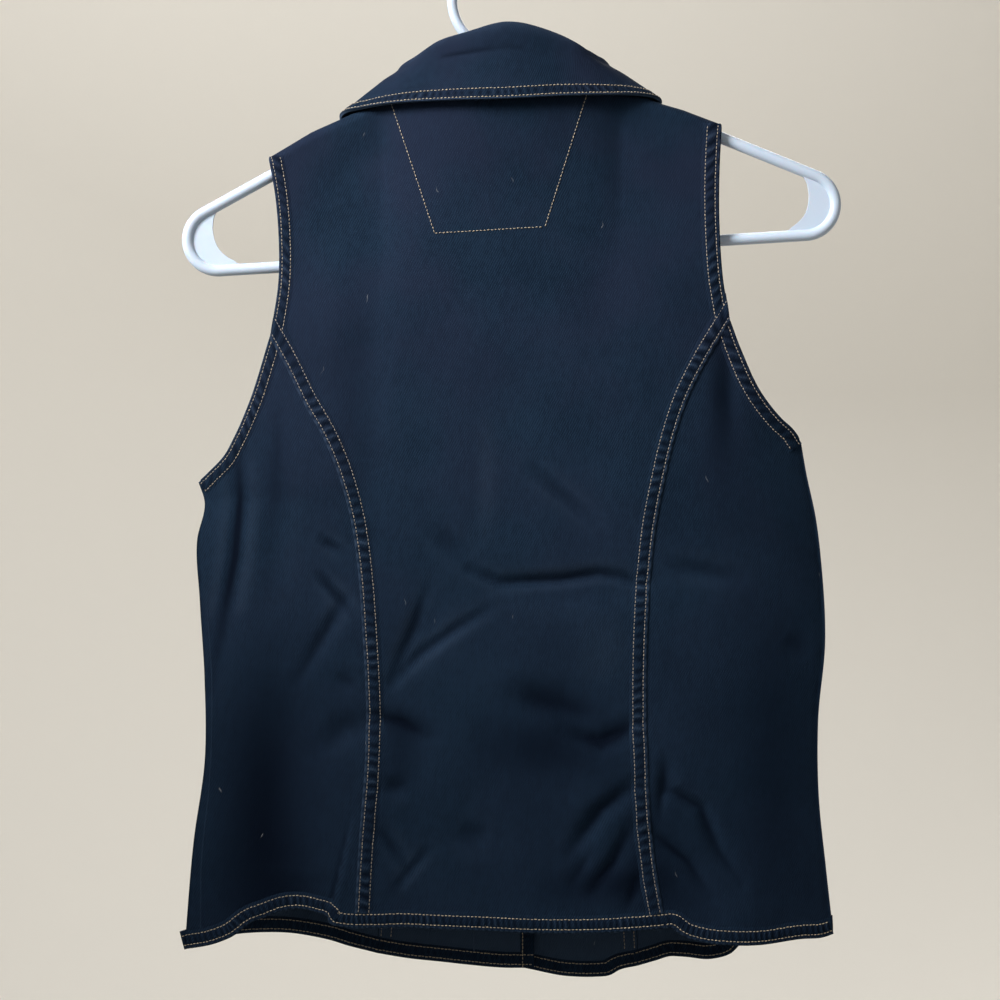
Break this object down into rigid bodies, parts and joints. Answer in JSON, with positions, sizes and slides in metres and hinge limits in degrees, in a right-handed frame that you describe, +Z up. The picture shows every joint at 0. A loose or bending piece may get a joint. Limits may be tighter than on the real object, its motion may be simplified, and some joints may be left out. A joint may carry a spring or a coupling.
{
  "type": "denim vest on a plastic hanger",
  "caption": "Fitted sleeveless denim vest with a turned-over collar, curved back seams and a lapped front, hanging on a white plastic tube hanger.",
  "frame": {"origin": "inner top of the hanger's hook, where it bears on a rail", "axes": "+Z up, -Y out of the vest's back, +X to the right of someone who looks at the back"},
  "size_m": [0.4225, 0.062, 0.668],
  "materials": {
    "denim": "dark navy cotton twill, matt",
    "hanger_plastic": "white moulded plastic",
    "button_metal": "aged metal"
  },
  "bodies": {
    "root": {"back_centre": "denim", "back_side_left": "denim", "back_side_right": "denim", "front_centre_left": "denim", "front_centre_right": "denim", "front_side_left": "denim", "front_side_right": "denim", "collar": "denim", "button_1": "button_metal", "button_2": "button_metal", "button_3": "button_metal", "button_4": "button_metal", "button_5": "button_metal", "button_6": "button_metal", "hanger": "hanger_plastic"}
  },
  "joints": []
}
